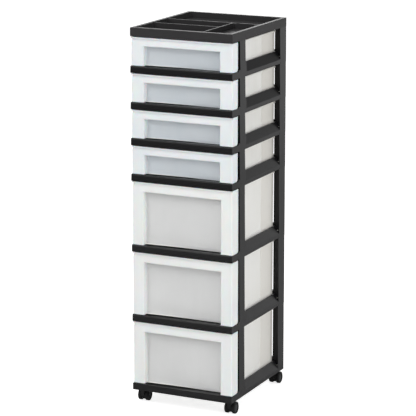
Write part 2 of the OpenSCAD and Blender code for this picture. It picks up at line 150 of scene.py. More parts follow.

# Studio: height of a direction at which the white sweep gives way to the darker room
SWEEP_LOW = 0.12
SWEEP_HIGH = 0.29
SWEEP_SIDE = 0.3       # how much lower it ends on the right than on the left
SWEEP_DARK = 0.15
WORLD_LIGHT = 0.45
FLOOR_R = 40
FLOOR_GREY = 0.8
FLOOR_LIFT = 0.76      # raises the floor to white where the camera sees it
LENS = 180.01029
CAMERA_AT = (2.448314, -5.121057, 1.868254)
CAMERA_TO = (0.020563, -0.0537, 0.553679)
LAMPS = {              # place, target, size, power
    "overhead": ((-0.6, -1.2, 3.4), (0, 0, 0.7), 2.4, 34),
    "key": ((-1.7, -3.2, 3.4), (0, 0, 0.5), 1.8, 37),
    "right_fill": ((3.4, -1.0, 1.4), (0, 0, 0.6), 2.2, 40),
    "front_fill": ((2.4, -3.4, 1.2), (0, 0, 0.5), 2.4, 17),
    "rim_light": ((-1.25, 2.9, 1.85), (0, 0, 1.0), 1.1, 8),
    "rear_sheen": ((1.8, 3.6, 0.7), (0, 0, 0.5), 1.8, 6)}

# Meshes
TINY = 0.02 * MM
WELD = 0.002 * MM      # corners of a solid's triangles that are this near are one
SPIN_WELD = 0.01 * MM  # and those of a spun ring
FLAT_WEIGHT = 80       # how much a corner's shade follows its broadest face
FRAME_FOLD = 20        # degrees: the least fold of a solid that is rounded
THIN_FOLD = 50         # and of the drawers' thin walls
CAP_FOLD = 30


# ---------------------------------------------------------------- mesh helpers

def alone(piece):
    """Makes piece the only selected object."""
    bpy.ops.object.select_all(action="DESELECT")
    piece.select_set(True)
    bpy.context.view_layer.objects.active = piece


def open_mesh(piece):
    """Starts work on the piece's mesh, all of it selected."""
    alone(piece)
    bpy.ops.object.mode_set(mode="EDIT")
    bpy.ops.mesh.select_all(action="SELECT")


def close_mesh():
    bpy.ops.object.mode_set(mode="OBJECT")


def settle(piece):
    """Puts the piece's place, turn and size into its mesh."""
    alone(piece)
    bpy.ops.object.transform_apply(location=True, rotation=True, scale=True)


def middle(item):
    """Centre of a face or an edge, or the place of a corner."""
    if isinstance(item, bmesh.types.BMFace):
        return item.calc_center_median()
    if isinstance(item, bmesh.types.BMEdge):
        return (item.verts[0].co + item.verts[1].co) / 2
    return item.co


def pick(piece, kind, rule):
    """Selects the faces, edges or corners of the open mesh that pass the rule; returns how many."""
    bpy.ops.mesh.select_mode(type=kind)
    bpy.ops.mesh.select_all(action="DESELECT")
    form = bmesh.from_edit_mesh(piece.data)
    form.normal_update()
    items = {"FACE": form.faces, "EDGE": form.edges, "VERT": form.verts}[kind]
    chosen = [item for item in items if rule(item)]
    for item in chosen:
        item.select_set(True)
    form.select_flush_mode()
    bmesh.update_edit_mesh(piece.data)
    return len(chosen)


def cut(axis, place):
    """Cuts the whole open mesh along a plane across the axis."""
    point, normal = [0, 0, 0], [0, 0, 0]
    point["xyz".index(axis)] = place
    normal["xyz".index(axis)] = 1
    bpy.ops.mesh.select_all(action="SELECT")
    bpy.ops.mesh.bisect(plane_co=point, plane_no=normal)


def near(a, b, slack=TINY):
    """Whether two lengths are the same but for the slack."""
    return abs(a - b) < slack


def block(name, low, high):
    """A box between two corners, as the start of a piece."""
    bpy.ops.object.select_all(action="DESELECT")
    bpy.ops.mesh.primitive_cube_add(size=1, location=[(a + b) / 2 for a, b in zip(low, high)])
    piece = bpy.context.object
    piece.name = piece.data.name = name
    piece.scale = [b - a for a, b in zip(low, high)]
    settle(piece)
    return piece


def thicken(piece, wall, even=True):
    """Gives the skin a wall inwards; even keeps it as thick along folds, and suits only gentle ones."""
    alone(piece)
    bpy.ops.object.modifier_add(type="SOLIDIFY")
    mod = piece.modifiers[-1]
    mod.thickness, mod.offset, mod.use_even_offset = wall, -1, even
    bpy.ops.object.modifier_apply(modifier=mod.name)


def round_edges(piece, radius, angle=40):
    """Rounds the edges at which the faces turn by more than the angle."""
    alone(piece)
    bpy.ops.object.modifier_add(type="BEVEL")
    mod = piece.modifiers[-1]
    mod.width, mod.segments, mod.limit_method = radius, 2, "ANGLE"
    mod.angle_limit = math.radians(angle)
    mod.use_clamp_overlap = True
    bpy.ops.object.modifier_apply(modifier=mod.name)


def smooth(piece, angle=35):
    """Smooth shading that keeps sharp edges sharp and broad faces flat."""
    alone(piece)
    bpy.ops.object.shade_smooth_by_angle(angle=math.radians(angle))
    bpy.ops.object.modifier_add(type="WEIGHTED_NORMAL")
    mod = piece.modifiers[-1]
    mod.keep_sharp, mod.weight = True, FLAT_WEIGHT
    bpy.ops.object.modifier_apply(modifier=mod.name)


def twin(piece, name, shift):
    """A copy with its own mesh, moved by shift."""
    other = piece.copy()
    other.data = piece.data.copy()
    other.name = other.data.name = name
    bpy.context.collection.objects.link(other)
    other.location = shift
    settle(other)
    return other


def joined(pieces):
    """Makes one piece of several, under the first one's name."""
    bpy.ops.object.select_all(action="DESELECT")
    for piece in pieces:
        piece.select_set(True)
    bpy.context.view_layer.objects.active = pieces[0]
    bpy.ops.object.join()
    return pieces[0]


def dress(piece, finish):
    """Gives the whole piece one finish."""
    piece.data.materials.clear()
    piece.data.materials.append(finish)


# ---------------------------------------------------------------- finishes

def group(name, inputs, outputs):
    """A new shader group with number inputs {name: value} and the named outputs."""
    tree = bpy.data.node_groups.new(name, "ShaderNodeTree")
    for label, value in inputs.items():
        socket = tree.interface.new_socket(label, in_out="INPUT", socket_type="NodeSocketFloat")
        socket.default_value = value
    for label in outputs:
        tree.interface.new_socket(label, in_out="OUTPUT", socket_type="NodeSocketFloat")
    return tree, tree.nodes.new("NodeGroupInput"), tree.nodes.new("NodeGroupOutput")


def node(tree, kind, **settings):
    """Adds a node; a setting named after an input sets or links it, any other is a property."""
    made = tree.nodes.new(kind)
    links = {}
    for label, value in settings.items():
        if hasattr(made, label):
            setattr(made, label, value)
        else:
            links[label] = value
    for label, value in links.items():
        plug(tree, made, label, value)
    return made


def plug(tree, made, label, value):
    """Sets an input of a node by name or number, or links it to an output."""
    socket = made.inputs[int(label) if label.isdigit() else label]
    if isinstance(value, bpy.types.NodeSocket):
        tree.links.new(value, socket)
    else:
        socket.default_value = value


def maths(tree, operation, a, b, clamp=False):
    """Result of one operation on two values."""
    made = tree.nodes.new("ShaderNodeMath")
    made.operation, made.use_clamp = operation, clamp
    plug(tree, made, "0", a)
    plug(tree, made, "1", b)
    return made.outputs[0]


def ramp(tree, value, low, high, to_low=0.0, to_high=1.0):
    """Value moved from one range to another, held at its ends."""
    made = tree.nodes.new("ShaderNodeMapRange")
    for label, part in (("Value", value), ("From Min", low), ("From Max", high),
                        ("To Min", to_low), ("To Max", to_high)):
        plug(tree, made, label, part)
    return made.outputs["Result"]


def blended(tree, share, a, b):
    """Colour between a and b by share."""
    made = tree.nodes.new("ShaderNodeMix")
    made.data_type = "RGBA"
    plug(tree, made, "Factor", share)
    for index, value in ((6, a), (7, b)):
        if isinstance(value, bpy.types.NodeSocket):
            tree.links.new(value, made.inputs[index])
        else:
            made.inputs[index].default_value = (*value, 1)
    return made.outputs[2]


def moulded_grain_group():
    """Fine spark texture of moulded plastic, as a height."""
    tree, inp, out = group("moulded_grain", {"Size": 900.0, "Cloudiness": 0.35}, ["Height"])
    where = tree.nodes.new("ShaderNodeTexCoord").outputs["Object"]
    fine = node(tree, "ShaderNodeTexNoise", Vector=where, Scale=inp.outputs["Size"], Detail=4.0,
                Roughness=0.65)
    slow = node(tree, "ShaderNodeTexNoise", Vector=where, Scale=38.0, Detail=2.0, Roughness=0.5)
    mixed = maths(tree, "MULTIPLY", slow.outputs["Fac"], inp.outputs["Cloudiness"])
    tree.links.new(maths(tree, "ADD", fine.outputs["Fac"], mixed), out.inputs["Height"])
    return tree


def scuffs_group():
    """Thin rubbed streaks and soft handling marks, as a mask."""
    tree, inp, out = group("scuffs", {"Streaks": 0.5, "Marks": 0.5}, ["Mask"])
    where = tree.nodes.new("ShaderNodeTexCoord").outputs["Object"]
    drawn = node(tree, "ShaderNodeMapping", Vector=where, Scale=(14.0, 14.0, 260.0),
                 Rotation=(0.35, 0.2, 0.1))
    lines = node(tree, "ShaderNodeTexNoise", Vector=drawn.outputs[0], Scale=1.0, Detail=5.0,
                 Roughness=0.7)
    thin = ramp(tree, lines.outputs["Fac"], 0.60, 0.74)
    spots = node(tree, "ShaderNodeTexNoise", Vector=where, Scale=9.0, Detail=4.0, Roughness=0.6)
    soft = ramp(tree, spots.outputs["Fac"], 0.52, 0.72)
    thin = maths(tree, "MULTIPLY", maths(tree, "MULTIPLY", thin, soft), inp.outputs["Streaks"])
    soft = maths(tree, "MULTIPLY", soft, inp.outputs["Marks"])
    tree.links.new(maths(tree, "ADD", thin, soft, clamp=True), out.inputs["Mask"])
    return tree


def dust_group():
    """Fine dust that settles on faces that look up, as a mask."""
    tree, inp, out = group("settled_dust", {"Amount": 0.5}, ["Mask"])
    facing = node(tree, "ShaderNodeSeparateXYZ",
                  Vector=tree.nodes.new("ShaderNodeNewGeometry").outputs["Normal"])
    up = ramp(tree, facing.outputs["Z"], 0.55, 0.98)
    where = tree.nodes.new("ShaderNodeTexCoord").outputs["Object"]
    cloud = node(tree, "ShaderNodeTexNoise", Vector=where, Scale=16.0, Detail=6.0, Roughness=0.7)
    patch = ramp(tree, cloud.outputs["Fac"], 0.35, 0.7, 0.35, 1.0)
    shed = maths(tree, "MULTIPLY", up, patch)
    tree.links.new(maths(tree, "MULTIPLY", shed, inp.outputs["Amount"]), out.inputs["Mask"])
    return tree


def flow_group():
    """Slow changes of thickness and faint flow lines in translucent plastic, as a mask."""
    tree, inp, out = group("flow_marks", {"Size": 7.0, "Lines": 0.3}, ["Mask"])
    where = tree.nodes.new("ShaderNodeTexCoord").outputs["Object"]
    cloud = node(tree, "ShaderNodeTexNoise", Vector=where, Scale=inp.outputs["Size"], Detail=2.0,
                 Roughness=0.45, Distortion=0.6)
    drawn = node(tree, "ShaderNodeMapping", Vector=where, Scale=(60.0, 60.0, 7.0))
    lines = node(tree, "ShaderNodeTexNoise", Vector=drawn.outputs[0], Scale=1.0, Detail=2.0,
                 Roughness=0.5)
    lined = maths(tree, "MULTIPLY", lines.outputs["Fac"], inp.outputs["Lines"])
    tree.links.new(maths(tree, "ADD", cloud.outputs["Fac"], lined), out.inputs["Mask"])
    return tree


GRAIN = moulded_grain_group()
SCUFFS = scuffs_group()
DUST = dust_group()
FLOW = flow_group()


def placed(tree, made_group, **values):
    """A shader group in a material, with its own values."""
    made = tree.nodes.new("ShaderNodeGroup")
    made.node_tree = made_group
    for label, value in values.items():
        made.inputs[label].default_value = value
    return made


def material(name, **constants):
    """A material with one Principled shader whose constant sockets are given by name."""
    made = bpy.data.materials.new(name)
    made.use_nodes = True
    shader = made.node_tree.nodes["Principled BSDF"]
    for label, value in constants.items():
        shader.inputs[label.replace("_", " ")].default_value = value
    return made, made.node_tree, shader


def bumped(tree, shader, height, depth, strength):
    """Lets a height raise and sink the surface's shade."""
    made = tree.nodes.new("ShaderNodeBump")
    made.inputs["Strength"].default_value = strength
    made.inputs["Distance"].default_value = depth
    tree.links.new(height, made.inputs["Height"])
    tree.links.new(made.outputs["Normal"], shader.inputs["Normal"])


def black_plastic(name, colour, rubbed, roughness, grain=900.0, dust=0.2, gloss=0.25):
    """Black moulded plastic with grain, rubbed marks and a little dust."""
    made, tree, shader = material(name, Specular_IOR_Level=gloss)
    scuff = placed(tree, SCUFFS, Streaks=0.7, Marks=0.25).outputs["Mask"]
    settled = placed(tree, DUST, Amount=dust).outputs["Mask"]
    body = blended(tree, scuff, colour, rubbed)
    dusty = [0.5 * part + 0.10 for part in rubbed]
    tree.links.new(blended(tree, settled, body, dusty), shader.inputs["Base Color"])
    height = placed(tree, GRAIN, Size=grain).outputs["Height"]
    tree.links.new(ramp(tree, height, 0.3, 1.0, roughness - 0.06, roughness + 0.08),
                   shader.inputs["Roughness"])
    bumped(tree, shader, height, BLACK_BUMP, 0.35)
    return made


def milky_plastic(name, thick, thin, roughness, clear, glow=0.0, rear=None):
    """Translucent plastic: its colour where it is thick and thin, and how much light goes through.

    A rear colour takes over behind the sunk panel of the tub's sides, and painted shade darkens the
    tub's rear corners.
    """
    made, tree, shader = material(name, Transmission_Weight=clear, IOR=1.49,
                                  Subsurface_Weight=glow, Subsurface_Scale=0.004)
    flow = placed(tree, FLOW, Size=6.0, Lines=0.35).outputs["Mask"]
    share = ramp(tree, flow, 0.45, 0.95)
    scuff = placed(tree, SCUFFS, Streaks=0.5, Marks=0.2).outputs["Mask"]
    body = blended(tree, share, thick, thin)
    if rear:
        place = node(tree, "ShaderNodeSeparateXYZ",
                     Vector=tree.nodes.new("ShaderNodeTexCoord").outputs["Object"])
        behind = ramp(tree, place.outputs["Y"], PANEL_HALF - MM, PANEL_HALF + MM)
        body = blended(tree, behind, body, rear)
        # painted shade: the tub's rear corners turn darker, though the plastic there is the same
        start, full, fade, end = TUB_CORNER_SHADE
        corner = maths(tree, "MULTIPLY", ramp(tree, place.outputs["Y"], start, full),
                       ramp(tree, place.outputs["Y"], fade, end, 1.0, 0.0))
        body = blended(tree, corner, body, [PAINTED_CORNER_SHADE * part for part in rear])
    marked = [0.93 * part for part in thin]
    tree.links.new(blended(tree, scuff, body, marked), shader.inputs["Base Color"])
    height = placed(tree, GRAIN, Size=MILKY_GRAIN, Cloudiness=0.6).outputs["Height"]
    tree.links.new(ramp(tree, height, 0.3, 1.2, roughness - 0.05, roughness + 0.07),
                   shader.inputs["Roughness"])
    bumped(tree, shader, height, MILKY_BUMP, 0.25)
    return made


def plated_steel(name):
    """Zinc-plated steel with fine turning lines and dull spots."""
    made, tree, shader = material(name, Metallic=1.0)
    where = tree.nodes.new("ShaderNodeTexCoord").outputs["Object"]
    drawn = node(tree, "ShaderNodeMapping", Vector=where, Scale=(40.0, 40.0, 3000.0))
    lines = node(tree, "ShaderNodeTexNoise", Vector=drawn.outputs[0], Scale=1.0, Detail=3.0)
    scuff = placed(tree, SCUFFS, Streaks=0.8, Marks=0.6).outputs["Mask"]
    tree.links.new(blended(tree, scuff, (0.62, 0.63, 0.64), (0.42, 0.42, 0.41)),
                   shader.inputs["Base Color"])
    tree.links.new(ramp(tree, lines.outputs["Fac"], 0.2, 0.8, 0.24, 0.42),
                   shader.inputs["Roughness"])
    bumped(tree, shader, lines.outputs["Fac"], STEEL_BUMP, 0.3)
    return made


FRAME_BLACK = {
    "shallow": black_plastic("frame_black_shallow", (0.004, 0.004, 0.0045), (0.010, 0.010, 0.011),
                             0.30, gloss=0.21),
    "deep": black_plastic("frame_black_deep", (0.004, 0.004, 0.0045), (0.010, 0.010, 0.011),
                          0.33, gloss=0.27)}
TOP_BLACK = black_plastic("organizer_black_moulded", (0.036, 0.035, 0.036), (0.048, 0.047, 0.048),
                          0.38, gloss=0.07)
# painted shade: a darker, matt black for the post fronts that lie in shade behind the drawer fronts
POST_FRONT_SHADE_BLACK = black_plastic("frame_black_recessed", (0.0015, 0.0015, 0.0015), (0.003, 0.003, 0.003),
                             0.6, gloss=0.03)
HOUSING_BLACK = black_plastic("caster_black_moulded", (0.005, 0.005, 0.005), (0.02, 0.02, 0.02), 0.45)
TYRE_BLACK = black_plastic("tyre_black_rolled", (0.006, 0.006, 0.006), (0.04, 0.039, 0.037), 0.55,
                           grain=600.0)
CAP_GREY = black_plastic("wheel_cap_grey", (0.030, 0.030, 0.032), (0.05, 0.05, 0.05), 0.38)
FRONT_WHITE = {
    "shallow": milky_plastic("front_milky_shallow", (0.80, 0.825, 0.845), (0.86, 0.875, 0.885),
                             0.36, 0.0, glow=0.25),
    "deep": milky_plastic("front_milky_deep", (0.85, 0.855, 0.845), (0.90, 0.90, 0.89),
                          0.38, 0.0, glow=0.25)}
WINDOW_FROST = {
    "shallow": milky_plastic("window_frosted_shallow", (0.76, 0.82, 0.865), (0.81, 0.85, 0.885),
                             0.5, 0.22),
    "deep": milky_plastic("window_frosted_deep", (0.83, 0.835, 0.83), (0.88, 0.885, 0.88),
                          0.5, 0.22)}
# the deep tubs' lighter colours are painted light: one plastic with the shallow tubs, made lighter
# where the rails above shade it less
TUB_FROST = {
    "shallow": milky_plastic("tub_frosted_shallow", (0.85, 0.84, 0.80), (0.95, 0.95, 0.92),
                             0.45, 0.12, rear=(0.79, 0.77, 0.72)),
    "deep": milky_plastic("tub_frosted_deep", (0.92, 0.91, 0.87), (0.97, 0.97, 0.94),
                          0.45, 0.12, rear=(0.86, 0.84, 0.79))}
STEEL = plated_steel("caster_steel_plated")


# ---------------------------------------------------------------- places

class Tier:
    """Places of one drawer, read from the frame."""

    def __init__(self, size, i):
        low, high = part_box(f"drawer_{i}")
        self.i = i
        self.foot = low.z + TUB_UP[size]
        self.seam = high.z - TAB_UP
        self.front = low.y
        self.back = high.y - RIM_BACK
        self.half = high.x
        self.depth = FRONT_DEPTH[size]
        self.front_foot = low.z + FOOT_UP
        self.front_top = self.seam - HEAD_GAP
        self.window = WINDOW_HALF[size]
        self.bar = self.front_top - BAR[size]
        self.window_y = self.front + RECESS
        self.rim = self.seam - RIM_DROP


# ---------------------------------------------------------------- drawers

def drawer_front(t):
    """Front with its side returns, recess walls and finger lip, as one skin that is then thickened."""
    x, y = t.half - BEAD_T, t.front + BEAD_T
    back = t.front + t.depth - BEAD_T
    foot, top = t.front_foot, t.front_top
    web_y = t.window_y + TUB_WALL
    front = block(f"drawer_{t.i}_front", (-x, y, foot), (x, back, top))
    open_mesh(front)
    pick(front, "FACE", lambda f: abs(f.normal.x) < 0.5 and f.normal.y > -0.5)
    bpy.ops.mesh.delete(type="FACE")
    cut("x", -t.window)
    cut("x", t.window)
    cut("z", t.bar)
    pick(front, "FACE", lambda f: abs(middle(f).x) < t.window and middle(f).z < t.bar)
    bpy.ops.mesh.delete(type="FACE")
    # round upright edges and lower back corners
    pick(front, "EDGE", lambda e: near(e.verts[0].co.y, y) and near(e.verts[1].co.y, y)
         and near(abs(e.verts[0].co.x), x) and near(abs(e.verts[1].co.x), x))
    bpy.ops.mesh.bevel(offset=UPRIGHT_R, segments=6, affect="EDGES")
    pick(front, "VERT", lambda v: near(v.co.y, back) and near(v.co.z, foot))
    bpy.ops.mesh.bevel(offset=RETURN_R, segments=6, affect="VERTICES")
    # rolled edge along the outline
    bpy.ops.mesh.select_mode(type="FACE")
    bpy.ops.mesh.select_all(action="SELECT")
    bpy.ops.mesh.inset(thickness=BEAD_W, use_boundary=True)
    inner = {tuple(round(c, 6) for c in middle(f)) for f in bmesh.from_edit_mesh(front.data).faces
             if f.select}
    pick(front, "FACE", lambda f: tuple(round(c, 6) for c in middle(f)) not in inner and not (
        abs(middle(f).x) < t.window + BEAD_W and middle(f).z < t.bar + BEAD_W))
    bpy.ops.mesh.extrude_region_shrink_fatten(
        TRANSFORM_OT_shrink_fatten={"value": BEAD_T, "use_even_offset": True})
    # along the top the rolled edge stands further out, with a hollow under it
    cove_z = top - BEAD_W
    pick(front, "VERT", lambda v: v.co.z > cove_z - TINY
         and (abs(v.co.x) > x + TINY or v.co.y < y - TINY))
    bpy.ops.transform.resize(value=(1, 1 + HEAD_OUT / (back - y), 1), center_override=(0, back, top))
    cut("z", cove_z - COVE_H)
    pick(front, "VERT", lambda v: near(v.co.z, cove_z) and v.co.y > y - TINY
         and abs(v.co.x) < x + TINY)
    bpy.ops.transform.resize(value=(1 - COVE_IN / x, 1 - COVE_IN / (back - y), 1),
                             center_override=(0, back, cove_z))
    # recess walls, with a rounded edge round the opening
    def at_opening(e):
        ends = [v.co for v in e.verts]
        return e.is_boundary and all(near(p.y, y) and abs(p.x) < t.window + TINY and p.z < t.bar + TINY
                                     for p in ends)
    pick(front, "EDGE", at_opening)
    bpy.ops.mesh.extrude_region_move(TRANSFORM_OT_translate={"value": (0, RECESS - BEAD_T, 0)})
    pick(front, "EDGE", lambda e: not e.is_boundary and all(
        near(v.co.y, y) and abs(v.co.x) < t.window + TINY and v.co.z < t.bar + TINY for v in e.verts))
    bpy.ops.mesh.bevel(offset=WINDOW_R, segments=5, affect="EDGES")
    # finger lip: the rest of the ceiling is open, and the lip turns up
    lip_y = t.front + LIP
    cut("y", lip_y)
    pick(front, "FACE", lambda f: f.normal.z < -0.5 and near(middle(f).z, t.bar)
         and middle(f).y > lip_y)
    bpy.ops.mesh.delete(type="FACE")
    pick(front, "EDGE", lambda e: e.is_boundary and all(
        near(v.co.y, lip_y) and near(v.co.z, t.bar) for v in e.verts))
    bpy.ops.mesh.extrude_region_move(TRANSFORM_OT_translate={"value": (0, 0, LIP)})
    pick(front, "EDGE", lambda e: e.is_boundary and all(
        near(abs(v.co.x), t.window) and near(v.co.z, t.bar) and v.co.y > lip_y - TINY for v in e.verts))
    bpy.ops.mesh.extrude_region_move(
        TRANSFORM_OT_translate={"value": (0, 0, top - FRONT_WALL - t.bar)})
    # web over the recess
    cut("y", web_y)
    pick(front, "EDGE", lambda e: e.is_boundary and all(
        near(v.co.z, top) and v.co.y < web_y + TINY for v in e.verts))
    bpy.ops.mesh.edge_face_add()
    close_mesh()
    thicken(front, FRONT_WALL, even=False)
    round_edges(front, FRONT_EDGE_R, angle=THIN_FOLD)
    smooth(front)
    return front


def drawer_tub(t):
    """Tapering tub with a turned-down rim, raised borders on its sides and stop tabs behind."""
    half_l = (t.back - t.window_y) / 2
    mid_y = (t.back + t.window_y) / 2
    tub = block(f"drawer_{t.i}_tub", (-TUB_HALF, t.window_y, t.foot), (TUB_HALF, t.back, t.rim))
    open_mesh(tub)
    pick(tub, "FACE", lambda f: f.normal.z > 0.5)
    bpy.ops.mesh.delete(type="FACE")
    pick(tub, "EDGE", lambda e: abs(e.verts[0].co.z - e.verts[1].co.z) > MM)
    bpy.ops.mesh.bevel(offset=TUB_R, segments=7, affect="EDGES")
    pick(tub, "FACE", lambda f: f.normal.z < -0.5)
    draw_in = (t.rim - t.foot) * math.tan(TUB_DRAFT)
    bpy.ops.transform.resize(value=(1 - draw_in / TUB_HALF, 1 - draw_in / half_l, 1),
                             center_override=(0, mid_y, t.foot))
    pick(tub, "EDGE", lambda e: all(near(v.co.z, t.foot) for v in e.verts))
    bpy.ops.mesh.bevel(offset=TUB_FOOT_R, segments=5, affect="EDGES")
    # sunk panel in each side, with round corners
    low, high = t.foot + PANEL_FOOT, t.rim - RIM_DOWN - PANEL_HEAD
    for place in (-PANEL_HALF, PANEL_HALF):
        cut("y", place)
    for place in (low, high):
        cut("z", place)
    for side in (-1, 1):
        pick(tub, "FACE", lambda f: f.normal.x * side > 0.9 and low < middle(f).z < high
             and abs(middle(f).y) < PANEL_HALF)
        bpy.ops.mesh.extrude_region_move(TRANSFORM_OT_translate={"value": (-side * PANEL_IN, 0, 0)})

    def panel_corner(e):
        d = e.verts[1].co - e.verts[0].co
        return (abs(d.x) > PANEL_IN / 2 and abs(d.y) < TINY and abs(d.z) < TINY
                and near(abs(d.x), PANEL_IN, 0.1 * MM) and abs(middle(e).x) > TUB_HALF - PANEL_NEAR)
    pick(tub, "EDGE", panel_corner)
    bpy.ops.mesh.bevel(offset=PANEL_R, segments=5, affect="EDGES")
    # turned-down rim
    pick(tub, "EDGE", lambda e: e.is_boundary)
    bpy.ops.mesh.extrude_region_move(TRANSFORM_OT_translate={"value": (0, 0, 0)})
    bpy.ops.transform.resize(value=(1 + RIM_OUT / TUB_HALF, 1 + RIM_OUT / half_l, 1),
                             center_override=(0, mid_y, t.rim))
    bpy.ops.mesh.extrude_region_move(TRANSFORM_OT_translate={"value": (0, 0, -RIM_DOWN)})
    close_mesh()
    thicken(tub, TUB_WALL)
    round_edges(tub, TUB_EDGE_R, angle=THIN_FOLD)
    tabs = []
    for side in (-1, 1):
        tab = block("tab", (side * TAB_X - TAB_HALF, t.back - TAB_T, t.rim - RIM_DOWN),
                    (side * TAB_X + TAB_HALF, t.back, t.seam + TAB_UP))
        open_mesh(tab)
        pick(tab, "EDGE", lambda e: abs(e.verts[0].co.y - e.verts[1].co.y) > MM
             and middle(e).z > t.seam)
        bpy.ops.mesh.bevel(offset=TAB_R, segments=4, affect="EDGES")
        close_mesh()
        round_edges(tab, TUB_EDGE_R)
        tabs.append(tab)
    tub = joined([tub] + tabs)
    smooth(tub)
    return tub


def drawer_window(t):
    """Frosted window wall between the recess walls: a sunk field above a thicker foot band."""
    half = t.window + FRONT_WALL
    band = t.foot + WINDOW_BAND
    face_y = t.window_y - WINDOW_T
    window = block(f"drawer_{t.i}_window", (-half, face_y, t.foot),
                   (half, t.window_y, t.front_top - FRONT_WALL))
    open_mesh(window)
    cut("z", band)
    pick(window, "FACE", lambda f: f.normal.y < -0.5 and middle(f).z > band)
    bpy.ops.mesh.inset(thickness=FRONT_WALL + WINDOW_EDGE)
    bpy.ops.mesh.extrude_region_move(TRANSFORM_OT_translate={"value": (0, FIELD_IN, 0)})
    pick(window, "EDGE", lambda e: all(near(v.co.y, face_y) for v in e.verts)
         and not all(near(abs(v.co.x), half) for v in e.verts))
    bpy.ops.mesh.bevel(offset=FIELD_R, segments=2, affect="EDGES")
    # foot band, rounded along its top
    pick(window, "FACE", lambda f: f.normal.y < -0.5 and middle(f).z < band - MM)
    bpy.ops.mesh.extrude_region_move(TRANSFORM_OT_translate={"value": (0, -BAND_OUT, 0)})
    pick(window, "EDGE", lambda e: all(near(v.co.y, face_y - BAND_OUT) for v in e.verts)
         and all(v.co.z > t.foot + MM for v in e.verts)
         and abs(e.verts[0].co.x - e.verts[1].co.x) > MM)
    bpy.ops.mesh.bevel(offset=BAND_R, segments=3, affect="EDGES")
    close_mesh()
    smooth(window)
    return window


def drawers(size, numbers):
    """Draws the first drawer of a size and copies it to the other tiers."""
    first = Tier(size, numbers[0])
    shapes = [(drawer_front(first), FRONT_WHITE[size]), (drawer_tub(first), TUB_FROST[size]),
              (drawer_window(first), WINDOW_FROST[size])]
    for piece, finish in shapes:
        dress(piece, finish)
    for i in numbers:
        for piece, finish in shapes:
            mine = piece
            if i != numbers[0]:
                kind = piece.name.rsplit("_", 1)[1]
                mine = twin(piece, f"drawer_{i}_{kind}", (0, 0, Tier(size, i).foot - first.foot))
            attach(mine, f"drawer_body_{i}")
            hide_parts(f"drawer_{i}")


# ---------------------------------------------------------------- frames and top

def raise_strip(piece):
    """Lifts the frame's strip and runners and gives the strip a rounder upper front edge."""
    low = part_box(f"tier_{piece.name}")[0]
    top = low.z + STRIP_TOP
    open_mesh(piece)
    # fillets above the strip give way
    pick(piece, "VERT", lambda v: top + STRIP_R_CAD / 2 < v.co.z < low.z + FILLET_TOP)
    rise = FILLET_TOP - STRIP_TOP
    bpy.ops.transform.resize(value=(1, 1, 1 - STRIP_UP / rise),
                             center_override=(0, 0, low.z + FILLET_TOP))
    # rounding of the upper front edge
    pick(piece, "VERT", lambda v: v.co.y < low.y + STRIP_R_CAD + TINY
         and top - STRIP_R_CAD - TINY < v.co.z < top + TINY)
    bpy.ops.transform.resize(value=(1, STRIP_R / STRIP_R_CAD, STRIP_R / STRIP_R_CAD),
                             center_override=(0, low.y, top - STRIP_R_CAD))
    bpy.ops.transform.translate(value=(0, 0, STRIP_UP - STRIP_R + STRIP_R_CAD))
    # the rest of the strip and the runners
    pick(piece, "VERT", lambda v: v.co.y > low.y + STRIP_R_CAD + TINY
         and top - STRIP_WALL - TINY < v.co.z < top + TINY)
    bpy.ops.transform.translate(value=(0, 0, STRIP_UP))
    close_mesh()


def move_posts(piece):
    """Moves the front and rear walls of the front posts further back."""
    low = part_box(f"tier_{piece.name}")[0]
    open_mesh(piece)
    pick(piece, "VERT", lambda v: abs(v.co.x) > POST_IN and v.co.z > low.z + STRIP_TOP + STRIP_WALL
         and near(v.co.y, low.y + POST_FRONT + STRIP_WALL / 2, POST_SLACK))
    bpy.ops.transform.translate(value=(0, FRONT_BACK, 0))
    pick(piece, "VERT", lambda v: abs(v.co.x) > POST_IN
         and near(v.co.y, low.y + POST_REAR, POST_SLACK))
    bpy.ops.transform.translate(value=(0, REAR_BACK, 0))
    close_mesh()


def soft_copy(cad_node, name, radius):
    """The CAD solid with its loose triangles merged into faces and its edges rounded."""
    source = frame["nodes"][cad_node]
    piece = bpy.data.objects.new(name, source.data.copy())
    piece.data.name = name
    bpy.context.collection.objects.link(piece)
    open_mesh(piece)
    bpy.ops.mesh.remove_doubles(threshold=WELD)
    bpy.ops.mesh.dissolve_limited(angle_limit=math.radians(1))
    close_mesh()
    if name.startswith("frame_"):
        move_posts(piece)
        raise_strip(piece)
    round_edges(piece, radius, angle=FRAME_FOLD)
    smooth(piece)
    return piece


def paint_post_front_shade(piece):
    """Paints shade on the front posts' faces behind the drawer fronts: a darker, matt black of their
    own.
    """
    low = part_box(f"tier_{piece.name}")[0]
    piece.data.materials.append(POST_FRONT_SHADE_BLACK)
    front = low.y + POST_FRONT + FRONT_BACK
    for face in piece.data.polygons:
        if (face.normal.y < -0.9 and near(face.center.y, front, MM)
                and abs(face.center.x) > POST_IN and face.center.z > low.z + STRIP_TOP):
            face.material_index = 1


def frames(size, numbers):
    """Tier frames of a size, each from its own solid."""
    for i in numbers:
        piece = soft_copy(f"tier_frame_{i}", f"frame_{i}", FRAME_EDGE_R)
        dress(piece, FRAME_BLACK[size])
        paint_post_front_shade(piece)
        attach(piece, "cabinet")
        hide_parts(f"tier_frame_{i}")


def organizer():
    """Organiser top, from its own solid."""
    top = soft_copy("organizer_top", "organizer", TOP_EDGE_R)
    dress(top, TOP_BLACK)
    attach(top, "cabinet")
    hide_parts("organizer_top")


# ---------------------------------------------------------------- casters

